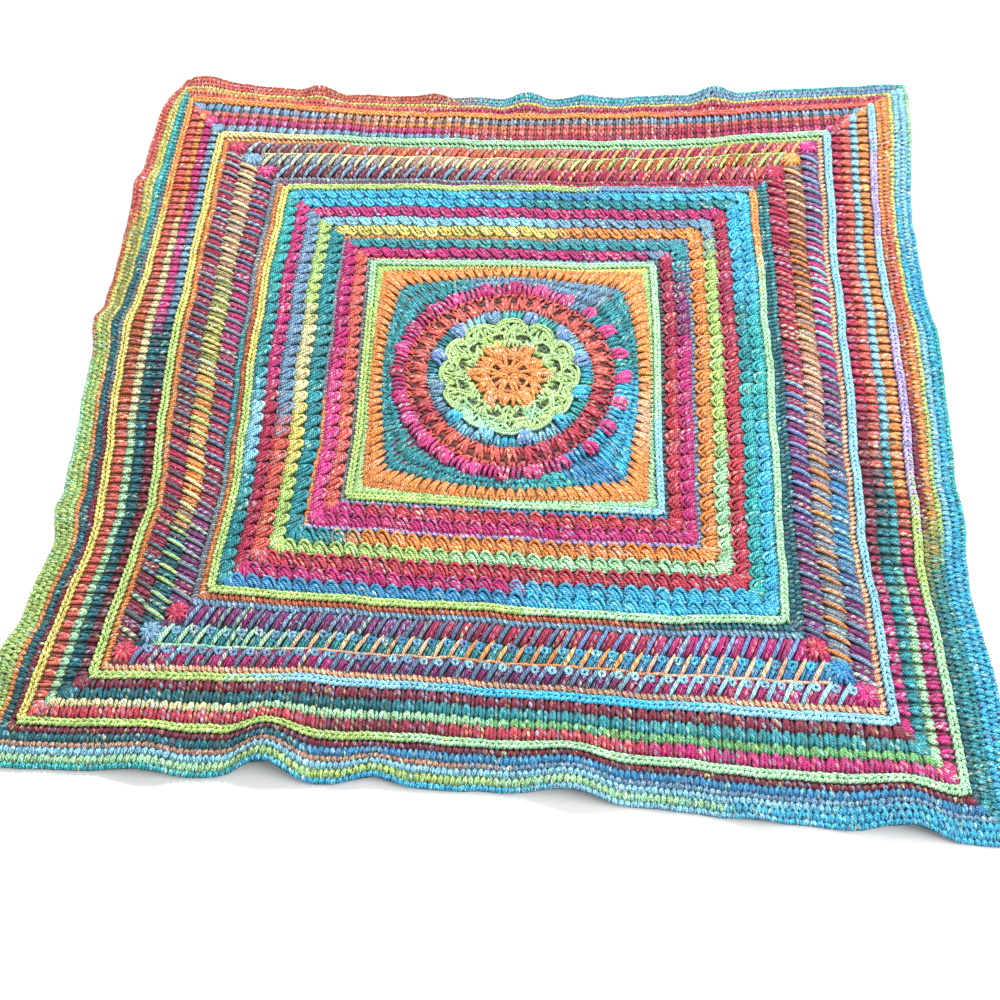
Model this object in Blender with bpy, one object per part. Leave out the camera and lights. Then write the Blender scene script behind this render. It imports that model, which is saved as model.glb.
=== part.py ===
"""A square crochet afghan that lies flat, with a round motif in its middle and a rippled border.

It is worked from the middle outwards in one piece, so it is one solid: rings of points that run
from the middle of the underside out to the rim, and back over the top to the middle.
Metres, +Z up. The origin is the middle of the round motif, on the underside.
"""

import math

import bmesh
import bpy
from mathutils import Matrix, Vector

HALF = 0.585  # from the middle to the rim of the flat square
HUB = 0.008  # the small closed ring that the work starts from
CLOTH_TOP = 0.0045  # how high the plain stitches reach
VALLEY = 0.0034  # the line between two rounds
RIM_TOP = 0.0030
RIDGE_TOP = 0.0085  # a chain worked on the face of the cloth
CLUSTER_TOP = 0.0060
TWIST_TOP = 0.0062
RIB_TOP = 0.0072
FLOWER_TOP = 0.0065
LOOP_TOP = 0.0080
POPCORN_TOP = 0.0115

ROUND_UNTIL = 0.160  # rounds inside this are circles
SQUARE_FROM = 0.198  # rounds outside this are squares

# Points on each of the four sides of a ring.
HUB_POINTS = 6
MOTIF_POINTS = 24
STRAIGHT_POINTS = 4
RIB_POINTS_IN = 132
RIB_POINTS_OUT = 146
BORDER_POINTS = 48

CLUSTER_ROUNDS = 7
CLUSTERS_FROM, CLUSTERS_TO = 0.218, 0.348
TWIST_ROUNDS = 3
TWISTS_FROM, TWISTS_TO = 0.376, 0.446
RIBS_FROM, RIBS_TO = 0.469, 0.5187
RIDGE_WIDTH = 0.012
MOTIF_RIDGE, CLUSTER_RIDGE, TWIST_RIDGE, RIB_RIDGE = 0.203, 0.355, 0.460, 0.530

# Outwards and along, for the sides in the order in which a round is worked.
SIDES = {
    "front": (Vector((0, -1)), Vector((1, 0))),
    "right": (Vector((1, 0)), Vector((0, 1))),
    "back": (Vector((0, 1)), Vector((-1, 0))),
    "left": (Vector((-1, 0)), Vector((0, -1))),
}

# How far some rounds lie outside a true square, in millimetres, at five even places along each side
# from its first corner to its last. A row is one round: the four ridges, then the rim.
PULL_COLUMNS = ("side", "radius", "first", "early", "middle", "late", "last")
PULLS_MM = (
    ("front", 0.203, 0, 2, 5, 5, 7),
    ("front", 0.355, -11, -3, 0, 5, -1),
    ("front", 0.460, 5, -3, 3, 10, 16),
    ("front", 0.530, -3, -4, -3, 14, 26),
    ("front", 0.585, -4, -3, -4, 12, 31),
    ("right", 0.203, 4, 0, 0, -1, -6),
    ("right", 0.355, -1, 0, 1, -2, -7),
    ("right", 0.460, 11, -5, 0, -1, 9),
    ("right", 0.530, 13, -5, 3, -3, 15),
    ("right", 0.585, 15, -5, 3, -6, 23),
    ("back", 0.203, 3, -3, -1, -4, -5),
    ("back", 0.355, 7, 0, -2, -4, -10),
    ("back", 0.460, 28, -3, -10, -9, -2),
    ("back", 0.530, 26, -6, -19, -16, 12),
    ("back", 0.585, 23, -12, -32, -28, 11),
    ("left", 0.203, 7, 2, -3, -8, -6),
    ("left", 0.355, 9, 11, 5, -8, -3),
    ("left", 0.460, 26, 21, 15, -9, 13),
    ("left", 0.530, 22, 15, 18, -15, 18),
    ("left", 0.585, 10, 11, 4, -19, 17),
)

# The ripples of the border. at: place along the side, from its middle. reach: from the rim inwards.
# draw: how far the ripple pulls the rim inwards. Those with no height round off a corner.
RIPPLE_COLUMNS = ("side", "at", "half_width", "height", "reach", "draw")
RIPPLES = (
    ("front", -0.390, 0.050, 0.012, 0.090, 0.004),
    ("front", -0.252, 0.058, 0.022, 0.118, 0.017),
    ("front", 0.100, 0.070, 0.018, 0.118, 0.009),
    ("front", 0.310, 0.045, 0.008, 0.050, 0.000),
    ("front", 0.460, 0.060, 0.022, 0.118, 0.010),
    ("right", -0.430, 0.080, 0.012, 0.090, 0.000),
    ("right", -0.200, 0.050, 0.010, 0.060, 0.000),
    ("right", 0.060, 0.090, 0.014, 0.080, 0.000),
    ("right", 0.470, 0.100, 0.012, 0.090, 0.000),
    ("back", -0.304, 0.044, 0.018, 0.070, 0.003),
    ("back", -0.090, 0.035, 0.006, 0.040, 0.000),
    ("back", 0.001, 0.042, 0.018, 0.075, 0.003),
    ("back", 0.149, 0.036, 0.009, 0.050, 0.001),
    ("back", 0.327, 0.042, 0.018, 0.070, 0.003),
    ("back", 0.500, 0.060, 0.010, 0.070, 0.000),
    ("left", -0.345, 0.050, 0.014, 0.080, -0.002),
    ("left", -0.060, 0.052, 0.020, 0.110, -0.002),
    ("left", 0.255, 0.045, 0.015, 0.080, 0.000),
    ("left", 0.450, 0.055, 0.018, 0.080, 0.000),
    ("left", -0.585, 0.080, 0.000, 0.060, 0.026),
    ("back", 0.585, 0.060, 0.000, 0.050, 0.008),
    ("back", -0.585, 0.036, 0.000, 0.050, 0.004),
    ("right", 0.585, 0.036, 0.000, 0.050, 0.004),
    ("right", -0.585, 0.036, 0.000, 0.050, 0.006),
    ("front", 0.585, 0.036, 0.000, 0.050, 0.006),
    ("front", -0.585, 0.036, 0.000, 0.050, 0.006),
    ("left", 0.585, 0.036, 0.000, 0.050, 0.006),
)

# The gaps over 4 mm that go right through. first: degrees from +X to the first gap.
GAP_COLUMNS = ("count", "radius", "first", "width", "length")
GAPS = {
    "flower": (6, 0.0195, -90.0, 0.0060, 0.0070),
    "petals": (12, 0.0670, -75.0, 0.0075, 0.0065),
    "shells": (36, 0.1370, -90.0, 0.0055, 0.0060),
}
CORNER_GAPS = (0.1880, 0.1975)
CORNER_GAP_WIDTH = 0.0052
GAP_SIDES = 5
CUTTER_DEPTH = 0.060

YARN_COLOUR = (0.16, 0.43, 0.45, 1.0)
YARN_ROUGHNESS = 0.95


def clear_scene():
    for obj in list(bpy.data.objects):
        bpy.data.objects.remove(obj, do_unlink=True)


def smooth(share):
    """0 to 1 with level ends, for a share that is cut to that range."""
    share = min(max(share, 0.0), 1.0)
    return share * share * (3 - 2 * share)


def flat_point(radius, side, along):
    """A point of a round, with the cloth stretched flat. along runs from -1 to 1 on a side."""
    outwards, sideways = SIDES[side]
    angle = math.radians(45) * along
    on_circle = radius * (math.cos(angle) * outwards + math.sin(angle) * sideways)
    on_square = radius * (outwards + along * sideways)
    squareness = smooth((radius - ROUND_UNTIL) / (SQUARE_FROM - ROUND_UNTIL))
    return on_circle.lerp(on_square, squareness)


def between(known, at):
    """Straight between known (place, value) pairs, and level beyond the last ones."""
    for (start, low), (end, high) in zip(known, known[1:]):
        if at <= end:
            return low + (high - low) * max((at - start) / (end - start), 0.0)
    return known[-1][1]


def pull(side, out, along):
    """How far outside a true square the cloth lies, at a place from -1 to 1 on a side."""
    across = [(0.0, 0.0)]
    for row_side, radius, *offsets in PULLS_MM:
        if row_side == side:
            places = [step / 2 - 1 for step in range(len(offsets))]
            across.append((radius, between(list(zip(places, offsets)), along) / 1000))
    return between(across, out)


def lie(flat, height):
    """Where a point of the flat cloth, and a height above its underside, lies on the ground."""
    place = flat.copy()
    lift = 0.0
    for side, (outwards, sideways) in SIDES.items():
        out, along = flat.dot(outwards), flat.dot(sideways)
        if out > 0:
            place += outwards * pull(side, out, along / max(out, abs(along)))
        for ripple_side, at, half_width, ripple_height, reach, draw in RIPPLES:
            off = abs(along - at) / half_width
            if ripple_side != side or off >= 1:
                continue
            share = math.cos(math.pi / 2 * off) ** 2 * smooth((out - HALF + reach) / reach)
            place -= outwards * draw * share
            lift += ripple_height * share
    return Vector((place.x, place.y, height + lift))


class Ring:
    """A closed ring of vertices. height is a number, or a function of the vertex's place."""

    def __init__(self, bm, radius, points, height):
        self.radius = radius
        self.places = [
            (side, 2 * step / points - 1) for side in range(len(SIDES)) for step in range(points)
        ]
        self.vertices = []
        for index, (side, along) in enumerate(self.places):
            top = height(index, len(self.places)) if callable(height) else height
            flat = flat_point(radius, list(SIDES)[side], along)
            self.vertices.append(bm.verts.new(lie(flat, top)))

    def vertex(self, index):
        return self.vertices[index % len(self.vertices)]

    def key(self, index, upright):
        """Where a vertex comes in the round. upright: by its distance along the side."""
        if index >= len(self.places):
            return (len(SIDES), 0.0)
        side, along = self.places[index]
        return (side, along * self.radius) if upright else (side, along)


def loft(bm, one, other, upright=False):
    """Faces between two rings. upright: they run square to the sides, and fan at the corners."""
    i = j = 0
    while i < len(one.vertices) or j < len(other.vertices):
        first = j == len(other.vertices) or (
            i < len(one.vertices) and one.key(i + 1, upright) <= other.key(j + 1, upright)
        )
        if first:
            bm.faces.new((one.vertex(i), one.vertex(i + 1), other.vertex(j)))
            i += 1
        else:
            bm.faces.new((one.vertex(i), other.vertex(j + 1), other.vertex(j)))
            j += 1


def bumps(count, low, high, shift=0.0):
    """Heights for count rounded bumps that stand evenly round a ring, the first at its first point."""

    def height(index, total):
        phase = (index / total * count - shift) % 1.0
        return low + (high - low) * max(math.cos(2 * math.pi * phase), 0.0)

    return height


def ribs(first):
    """Heights of the post stitches: every second point is a rib, from the first on."""

    def height(index, _total):
        return RIB_TOP if index % 2 == first else VALLEY

    return height


def band(start, end, rounds, points, top):
    """Rings for rounds that each stand up between two valleys."""
    depth = (end - start) / rounds
    rows = [(start, points, VALLEY)]
    for number in range(rounds):
        rows.append((start + depth * (number + 0.5), points, top))
        rows.append((start + depth * (number + 1), points, VALLEY))
    return rows


def ridge(radius, points):
    """Rings for a chain that stands on the face of the cloth."""
    half = RIDGE_WIDTH / 2
    return [
        (radius - half, points, VALLEY),
        (radius, points, RIDGE_TOP),
        (radius + half, points, VALLEY),
    ]


def underside():
    """Rings from the hub to the rim, flat on the ground but for the ripples."""
    return [
        (HUB, HUB_POINTS, 0.0),
        (RIBS_FROM - 0.030, STRAIGHT_POINTS * 3, 0.0),
        (RIBS_FROM, BORDER_POINTS, 0.0),
        (RIBS_TO, BORDER_POINTS, 0.0),
        (RIB_RIDGE + RIDGE_WIDTH / 2, BORDER_POINTS, 0.0),
        (0.560, BORDER_POINTS, 0.0),
        (HALF, BORDER_POINTS, 0.0),
    ]


def topside():
    """Rings from the hub to the rim over the top: radius, points on a side, and height."""
    motif = [
        (HUB, HUB_POINTS, CLOTH_TOP),
        (0.032, HUB_POINTS, FLOWER_TOP),
        (0.052, MOTIF_POINTS, VALLEY),
        (0.088, MOTIF_POINTS, bumps(12, CLOTH_TOP, LOOP_TOP, shift=0.5)),
        (0.101, MOTIF_POINTS, bumps(12, CLOTH_TOP, POPCORN_TOP)),
        (0.112, MOTIF_POINTS, VALLEY),
        (0.147, MOTIF_POINTS, CLOTH_TOP),
        (0.156, MOTIF_POINTS, bumps(24, CLOTH_TOP, POPCORN_TOP)),
        (0.166, MOTIF_POINTS, VALLEY),
    ]
    return [
        *motif,
        *ridge(MOTIF_RIDGE, STRAIGHT_POINTS),
        *band(CLUSTERS_FROM, CLUSTERS_TO, CLUSTER_ROUNDS, STRAIGHT_POINTS, CLUSTER_TOP),
        *ridge(CLUSTER_RIDGE, STRAIGHT_POINTS)[1:],
        *band(TWISTS_FROM, TWISTS_TO, TWIST_ROUNDS, STRAIGHT_POINTS, TWIST_TOP),
        *ridge(TWIST_RIDGE, STRAIGHT_POINTS)[:2],
        (TWIST_RIDGE + RIDGE_WIDTH / 2, BORDER_POINTS, VALLEY),
        (RIBS_FROM, RIB_POINTS_IN, ribs(first=1)),
        (RIBS_TO, RIB_POINTS_OUT, ribs(first=0)),
        *ridge(RIB_RIDGE, BORDER_POINTS)[1:],
        (0.560, BORDER_POINTS, CLOTH_TOP),
        (HALF, BORDER_POINTS, RIM_TOP),
    ]


def cloth_mesh():
    """The whole closed cloth, before its gaps are cut."""
    bm = bmesh.new()
    bottom = [Ring(bm, *row) for row in underside()]
    top = [Ring(bm, *row) for row in topside()]
    for rings in (bottom, top):
        bm.faces.new(rings[0].vertices)
        for inner, outer in zip(rings, rings[1:]):
            loft(bm, inner, outer, upright=outer.radius == RIBS_TO and rings is top)
    loft(bm, bottom[-1], top[-1])
    bmesh.ops.recalc_face_normals(bm, faces=bm.faces)
    mesh = bpy.data.meshes.new("afghan")
    bm.to_mesh(mesh)
    bm.free()
    return mesh


def gap_places():
    """Each gap's flat place, the way it points, its width and its length outwards."""
    for count, radius, first, width, length in GAPS.values():
        for number in range(count):
            angle = math.radians(first + 360 / count * number)
            yield radius * Vector((math.cos(angle), math.sin(angle))), angle, width, length
    for radius in CORNER_GAPS:
        for side in SIDES:
            flat = flat_point(radius, side, -1.0)
            yield flat, math.atan2(flat.y, flat.x), CORNER_GAP_WIDTH, CORNER_GAP_WIDTH


def gap_cutter(collection):
    """One mesh with an upright prism for each gap."""
    bm = bmesh.new()
    for flat, angle, width, length in gap_places():
        made = bmesh.ops.create_cone(
            bm, cap_ends=True, segments=GAP_SIDES, radius1=0.5, radius2=0.5, depth=CUTTER_DEPTH
        )["verts"]
        bmesh.ops.scale(bm, vec=(length, width, 1.0), verts=made)
        bmesh.ops.rotate(bm, matrix=Matrix.Rotation(angle, 3, "Z"), verts=made)
        bmesh.ops.translate(bm, vec=lie(flat, 0.0), verts=made)
    mesh = bpy.data.meshes.new("gap_cutter")
    bm.to_mesh(mesh)
    bm.free()
    cutter = bpy.data.objects.new("gap_cutter", mesh)
    cutter.hide_render = True
    cutter.display_type = "WIRE"
    collection.objects.link(cutter)
    return cutter


def yarn_material():
    material = bpy.data.materials.new("yarn")
    material.use_nodes = True
    shader = material.node_tree.nodes["Principled BSDF"]
    shader.inputs["Base Color"].default_value = YARN_COLOUR
    shader.inputs["Roughness"].default_value = YARN_ROUGHNESS
    shader.inputs["Metallic"].default_value = 0.0
    return material


def new_collection(name):
    collection = bpy.data.collections.new(name)
    bpy.context.scene.collection.children.link(collection)
    return collection


def main():
    clear_scene()
    parts = new_collection("crochet_afghan")
    cutters = new_collection("cutters")
    afghan = bpy.data.objects.new("afghan", cloth_mesh())
    afghan.data.materials.append(yarn_material())
    parts.objects.link(afghan)
    gaps = afghan.modifiers.new("gaps", "BOOLEAN")
    gaps.operation = "DIFFERENCE"
    gaps.object = gap_cutter(cutters)


main()
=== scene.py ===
from collections import namedtuple
import math

import bpy
import numpy as np
from mathutils import Matrix


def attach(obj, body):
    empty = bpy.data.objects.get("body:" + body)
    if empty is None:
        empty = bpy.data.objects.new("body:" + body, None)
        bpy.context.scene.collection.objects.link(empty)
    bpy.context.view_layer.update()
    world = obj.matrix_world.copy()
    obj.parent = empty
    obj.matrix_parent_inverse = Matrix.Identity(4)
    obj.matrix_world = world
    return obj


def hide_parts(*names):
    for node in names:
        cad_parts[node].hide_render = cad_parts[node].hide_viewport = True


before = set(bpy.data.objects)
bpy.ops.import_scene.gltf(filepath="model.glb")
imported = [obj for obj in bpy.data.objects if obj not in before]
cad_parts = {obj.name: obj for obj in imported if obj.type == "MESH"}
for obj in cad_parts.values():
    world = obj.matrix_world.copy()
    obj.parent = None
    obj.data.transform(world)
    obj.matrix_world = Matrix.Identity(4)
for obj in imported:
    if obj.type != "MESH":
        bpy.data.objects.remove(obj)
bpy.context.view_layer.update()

# The cloth: a square worked from the middle outwards, in rounds. Metres.
HALF = 0.585  # from the middle to the rim of the flat square
# How square the rounds are: radius, and 0 for a circle to 1 for a square.
SQUARENESS = ((0.160, 0.0), (0.166, 0.22), (0.178, 0.62), (0.1935, 0.84), (0.199, 1.0))
SEED = 20
TINY = 1e-9  # keeps a division from zero

# Outwards and sideways for the four sides, in the order in which a round is worked.
SIDES = ("front", "right", "back", "left")
OUTWARDS = np.array([(0, -1), (1, 0), (0, 1), (-1, 0)], float)
SIDEWAYS = np.array([(1, 0), (0, 1), (-1, 0), (0, -1)], float)

# How far some rounds lie outside a true square, in millimetres: radius, then five even places
# along the side.
PULLS_MM = {
    "front": ((203, 0, 2, 5, 5, 7), (355, -11, -3, 0, 5, -1), (460, 5, -3, 3, 10, 16),
        (530, -3, -4, -3, 14, 26), (585, -4, -3, -4, 12, 31)),
    "right": ((203, 4, 0, 0, -1, -6), (355, -1, 0, 1, -2, -7), (460, 11, -5, 0, -1, 9),
        (530, 13, -5, 3, -3, 15), (585, 15, -5, 3, -6, 23)),
    "back": ((203, 3, -3, -1, -4, -5), (355, 7, 0, -2, -4, -10), (460, 28, -3, -10, -9, -2),
        (530, 26, -6, -19, -16, 12), (585, 23, -12, -32, -28, 11)),
    "left": ((203, 7, 2, -3, -8, -6), (355, 9, 11, 5, -8, -3), (460, 26, 21, 15, -9, 13),
        (530, 22, 15, 18, -15, 18), (585, 10, 11, 4, -19, 17)),
}

# The ripples of the border, in millimetres: place along the side, half width, height, reach from
# the rim inwards, and how far the rim is drawn in. Those with no height round off a corner.
RIPPLES_MM = {
    "front": ((-390, 50, 12, 90, 4), (-252, 58, 22, 118, 17), (-125, 50, 8, 60, 8),
        (100, 70, 18, 118, 9), (310, 45, 8, 50, 0), (460, 60, 22, 118, 10), (585, 36, 0, 50, 6),
        (-585, 36, 0, 50, 6)),
    "right": ((-430, 80, 12, 90, 0), (-200, 50, 10, 60, 0), (60, 90, 14, 80, 0), (470, 100, 12, 90, 0),
        (585, 36, 0, 50, 4), (-585, 36, 0, 50, 6)),
    "back": ((-304, 44, 18, 70, 3), (-90, 35, 6, 40, 0), (1, 42, 18, 75, 3), (149, 36, 9, 50, 1),
        (327, 42, 18, 70, 3), (500, 60, 10, 70, 0), (585, 60, 0, 50, 8), (-585, 36, 0, 50, 4)),
    "left": ((-345, 50, 14, 80, -2), (-60, 52, 20, 110, -2), (255, 45, 15, 80, 0), (450, 55, 18, 80, 0),
        (-585, 80, 0, 60, 26), (585, 36, 0, 50, 6)),
}

# The rounds wander a little, sideways and up: size, length along the side, length outwards, phase.
WANDERS = ((0.0010, 0.163, 0.41, 0.3), (0.0004, 0.061, -0.23, 1.9))
LIFTS = ((0.0007, 0.093, 0.31, 1.1), (0.0004, 0.052, -0.19, 2.6))
WANDER_FROM, WANDER_FADE = 0.205, 0.03  # there is none in the middle

# The gaps that go right through. Columns: count, radius, degrees to the first, width, length.
GAPS = (
    (6, 0.0195, -90.0, 0.0060, 0.0070),
    (12, 0.0670, -75.0, 0.0075, 0.0065),
    (36, 0.1370, -90.0, 0.0055, 0.0060),
)
CORNER_GAPS = (0.1880, 0.1935)  # radii of the two gaps on each corner
CORNER_GAP_WIDTH = 0.0052

# Dyed yarn, as hexadecimal sRGB.
PALETTE = {
    "orange": "F0944A", "peach": "F2B48C", "coral": "E06457", "red": "C63B4F", "crimson": "B62A52",
    "wine": "86283F", "magenta": "C62878", "pink": "E64894", "plum": "842E72", "lilac": "B2A0DC",
    "lime": "B6D67A", "mint": "ACE2B0", "cream": "EBE0A6", "yellow": "E2D472", "green": "74B873",
    "teal": "2F949E", "pine": "1C6672", "blue": "3A8EC4", "sky": "40B8E2", "ice": "92D2EE",
    "steel": "789EBE", "iris": "7499D6", "grey": "868E9A", "slate": "5E7698", "coal": "565C66",
    "rust": "C8603A", "brown": "935A42", "olive": "A0A250", "tan": "C4937A", "aqua": "38B6B8",
    "leaf": "B6D98F",
}

# What each round is worked in, for the front, right, back and left side, or once for all of them: a
# colour, and the share of the side in percent at which it turns into the next.
CHART = {
    "flower": "orange",
    "lime_in": "leaf 70 mint, leaf, leaf 60 lime, lime 30 leaf",
    "lime_out": "mint 55 leaf, leaf, leaf, leaf 50 lime 75 leaf",
    "blue": "ice 40 sky 70 ice, aqua 50 sky 75 ice, aqua 60 ice, teal 50 ice 80 steel",
    "bobble": "sky 30 ice 60 iris, sky 40 iris, iris 50 steel, iris 50 steel",
    "coral": "coral 60 red, red 45 coral, coral, coral 75 red",
    "magenta": "pink 40 magenta, magenta 25 pink, "
        "pink 40 magenta 70 pink, magenta 25 pink 40 crimson 52 magenta 70 pink",
    "ring_cloth": "magenta 81 teal, teal, steel 15 magenta, magenta",
    "red_line": "red, red, red 50 magenta, crimson",
    "teal": "teal 60 aqua 80 blue, sky 50 teal, steel 70 teal, teal",
    "orange": "orange, orange 20 peach 45 orange, orange, orange",
    "lime_edge": "leaf 60 mint, mint 50 leaf, yellow 70 lime, lime 60 leaf",
    "ridge0": "lime 45 mint 88 ice, ice 35 mint, mint, mint 20 lime",
    "thin0": "steel 45 blue, coal, steel 45 grey 76 coral, grey",
    "c1": "magenta 8 red, red 60 crimson, steel 4 magenta, coral",
    "c2": "magenta, magenta 66 plum 90 teal, teal, magenta 50 pink",
    "thin1": "lilac, steel, steel 40 orange, grey 60 orange",
    "c3": "teal 12 orange, orange, orange 38 yellow, teal",
    "c4": "lime 40 mint, mint 30 lime 93 steel, steel 40 ice, lime 30 cream 60 yellow 80 lime",
    "c5": "red, red 60 crimson, magenta, steel 66 coral",
    "c6": "magenta 54 sky, aqua 50 teal 75 sky, teal 50 sky, magenta 55 crimson",
    "c7": "blue 55 sky, sky 40 aqua 70 sky, sky 30 blue 60 sky, aqua 30 teal 55 ice 75 teal",
    "ridge1": "lime 55 mint, mint 81 orange, steel 36 lime, yellow 50 lime",
    "thin2a": "rust 77 pine, pine, crimson 40 tan 52 plum, orange 35 rust 70 orange",
    "thin2b": "steel, pine 60 teal, crimson 50 grey, grey 40 teal 70 grey",
    "x1_base": "plum 40 crimson 75 magenta, plum 45 crimson, "
        "crimson 60 wine, crimson 25 magenta 45 crimson 80 plum",
    "x1": "slate 60 iris, slate 25 iris 52 crimson, coral 52 steel, slate 25 grey 50 slate 75 grey",
    "x2_base": "teal 60 blue, grey 35 tan 65 brown, "
        "rust 40 tan 75 grey, tan 28 olive 50 orange 80 pine",
    "x2": "mint 20 peach 45 orange 75 peach, orange 40 peach 62 orange 85 peach, "
        "lime 50 cream, cream 40 yellow 55 lime 68 cream 82 lime",
    "x3_base": "magenta 30 plum 70 magenta, plum 14 blue 34 plum 52 magenta 80 plum, "
        "crimson 40 rust 84 wine, crimson 35 wine 60 crimson 85 wine",
    "x3": "slate 70 ice, steel 30 slate 56 ice 80 steel, "
        "orange 40 coral 84 grey, grey 30 slate 60 coal",
    "x2_eye": "steel 25 blue 60 sky",
    "x3_eye": "steel 40 ice",
    "x1_knot": "crimson, crimson, crimson, magenta",
    "x2_knot": "steel, blue, orange, steel",
    "x3_knot": "red, magenta, magenta, crimson",
    "thin3": "peach 50 tan 80 peach, peach, lime 20 mint 80 orange, orange",
    "ridge2": "lime 20 ice 45 sky 75 ice, ice, mint 85 cream, yellow 40 lime",
    "rib1": "wine, magenta 20 wine 45 crimson, magenta 15 crimson 60 steel, steel 42 pine 54 wine",
    "rib2": "pine 40 teal, teal 24 pine 36 coral, "
        "crimson 30 coral 62 magenta, magenta 22 pink 42 pine",
    "rib3": "cream 20 mint 50 green, mint 20 teal 40 ice, "
        "coral 55 orange 75 coral, orange 22 cream 60 mint",
    "rib4": "red 30 wine 45 red 68 magenta, magenta 27 rust 33 orange, "
        "steel 30 grey 60 tan 80 steel, coral 35 rust 60 coral",
    "ridge3": "lime 40 mint, mint 20 lime 35 lilac 60 ice 75 lilac 92 ice, "
        "coral 30 orange, orange 22 yellow",
    "b1": "wine, pine 22 olive 30 wine 48 rust 75 orange, "
        "red 40 crimson 70 coral, teal 20 grey 55 wine",
    "b2": "pine 30 blue, teal 25 olive 33 orange 60 coral 80 orange, "
        "crimson 60 coral 85 orange, aqua 30 pine",
    "b3": "tan 50 steel, teal 28 lime 50 yellow, yellow, yellow 52 orange",
    "b4": "ice 84 sky, sky 30 ice 60 sky 80 ice, steel 60 coral, yellow 24 olive 46 lime",
    "b5": "mint 25 lime 50 mint 74 sky, sky 70 ice, "
        "steel 30 aqua 58 rust 80 coral, coral 26 yellow 46 lime",
    "b6": "aqua 25 sky 55 ice 75 sky, sky 30 aqua 60 sky 85 mint, "
        "aqua 30 steel 60 rust, coral 25 rust 48 mint 70 lime",
}
BLEND_PERCENT = 2.5  # a colour runs into the next over this much, either way

random = np.random.default_rng(SEED)


def unit(vectors):
    return vectors / np.maximum(np.linalg.norm(vectors, axis=-1, keepdims=True), TINY)


def smooth(share):
    share = np.clip(share, 0.0, 1.0)
    return share * share * (3 - 2 * share)


def pull(side, out, along):
    """How far outside a true square the cloth lies, at places from -1 to 1 on a side."""
    rows = PULLS_MM[SIDES[side]]
    table = np.array([[0] * len(rows[0]), *rows]) / 1000
    radii, table = table[:, 0], table[:, 1:]
    last = table.shape[1] - 1
    row = np.clip(np.searchsorted(radii, out) - 1, 0, len(radii) - 2)
    down = np.clip((out - radii[row]) / (radii[row + 1] - radii[row]), 0.0, 1.0)
    place = np.clip((along + 1) / 2 * last, 0.0, last)
    column = np.minimum(place.astype(int), last - 1)
    across = place - column
    inner = table[row, column] * (1 - across) + table[row, column + 1] * across
    outer = table[row + 1, column] * (1 - across) + table[row + 1, column + 1] * across
    return inner * (1 - down) + outer * down


def lie(points):
    """Where points of the flat cloth, and heights above its underside, lie on the ground."""
    flat = points[:, :2]
    placed = points.copy()
    for side in range(len(SIDES)):
        out, along = flat @ OUTWARDS[side], flat @ SIDEWAYS[side]
        share = along / np.maximum(np.maximum(out, np.abs(along)), TINY)
        shift = np.where(out > 0, pull(side, out, share), 0.0)
        free = smooth((out - WANDER_FROM) / WANDER_FADE) * (1 - np.abs(share) ** 8)
        free = np.where(out > 0, free, 0.0)
        for size, length, depth, phase in WANDERS:
            shift += size * free * np.sin(math.tau * (along / length + out / depth) + phase + side)
        for size, length, depth, phase in LIFTS:
            wave = np.sin(math.tau * (along / length + out / depth) + phase + side)
            placed[:, 2] += size * free * (1 + wave)
        placed[:, :2] += shift[:, None] * OUTWARDS[side]
        for at, half_width, height, reach, draw in np.array(RIPPLES_MM[SIDES[side]]) / 1000:
            off = np.minimum(np.abs(along - at) / half_width, 1.0)
            share = np.cos(math.pi / 2 * off) ** 2 * smooth((out - HALF + reach) / reach)
            placed[:, :2] -= (draw * share)[:, None] * OUTWARDS[side]
            placed[:, 2] += height * share
    return placed


def squareness_of(radius):
    radii, values = zip(*SQUARENESS)
    return np.interp(radius, radii, values)


def flat_point(radius, side, along):
    """Points of a round, with the cloth stretched flat. along runs from -1 to 1 on a side."""
    radius, along = np.broadcast_arrays(radius, along)
    angle = math.radians(45) * along
    on_circle = np.cos(angle)[:, None] * OUTWARDS[side] + np.sin(angle)[:, None] * SIDEWAYS[side]
    on_square = OUTWARDS[side] + along[:, None] * SIDEWAYS[side]
    squareness = squareness_of(radius)[:, None]
    return radius[:, None] * (on_circle * (1 - squareness) + on_square * squareness)


def linear(name):
    """A palette colour in linear light."""
    srgb = np.array([int(PALETTE[name][i : i + 2], 16) for i in (0, 2, 4)]) / 255
    return np.where(srgb <= 0.04045, srgb / 12.92, ((srgb + 0.055) / 1.055) ** 2.4)


def yarn_colour(round_name, side, along, wander=0.0):
    """The chart's colour at places from -1 to 1 on the sides."""
    percent = (np.asarray(along) + 1) * 50 + wander
    colours = np.zeros((len(percent), 3))
    sides = CHART[round_name].split(",")
    for index in range(len(SIDES)):
        words = sides[index % len(sides)].split()
        turns = np.array(words[1::2], float)
        stops = np.append(BLEND_PERCENT, np.stack([turns - BLEND_PERCENT, turns + BLEND_PERCENT], 1))
        values = np.array([linear(name) for name in words[::2]]).repeat(2, axis=0)[:-1]
        here = side == index
        for channel in range(3):
            colours[here, channel] = np.interp(percent[here], stops, values[:, channel])
    return colours


class Cells(namedtuple("Cells", "inner outer sideways inner_width outer_width side along")):
    """The places of the stitches of a round: each a strip from the round's inner to its outer edge."""

    def only(self, keep):
        return Cells(*(column[keep] for column in self))


def gather(made):
    """The cells of a round, from the columns made for each part of it. One value fills a column."""
    filled = []
    for inner, outer, sideways, *others in made:
        count = len(inner)
        others = [np.broadcast_to(column, count) for column in others]
        filled.append((inner, outer, np.broadcast_to(sideways, (count, 2)), *others))
    return Cells(*(np.concatenate(column) for column in zip(*filled)))


def rays(angle):
    """Unit vectors at angles from +X, and those a quarter turn on."""
    cos, sin = np.cos(angle), np.sin(angle)
    return np.stack([cos, sin], 1), np.stack([-sin, cos], 1)


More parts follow.
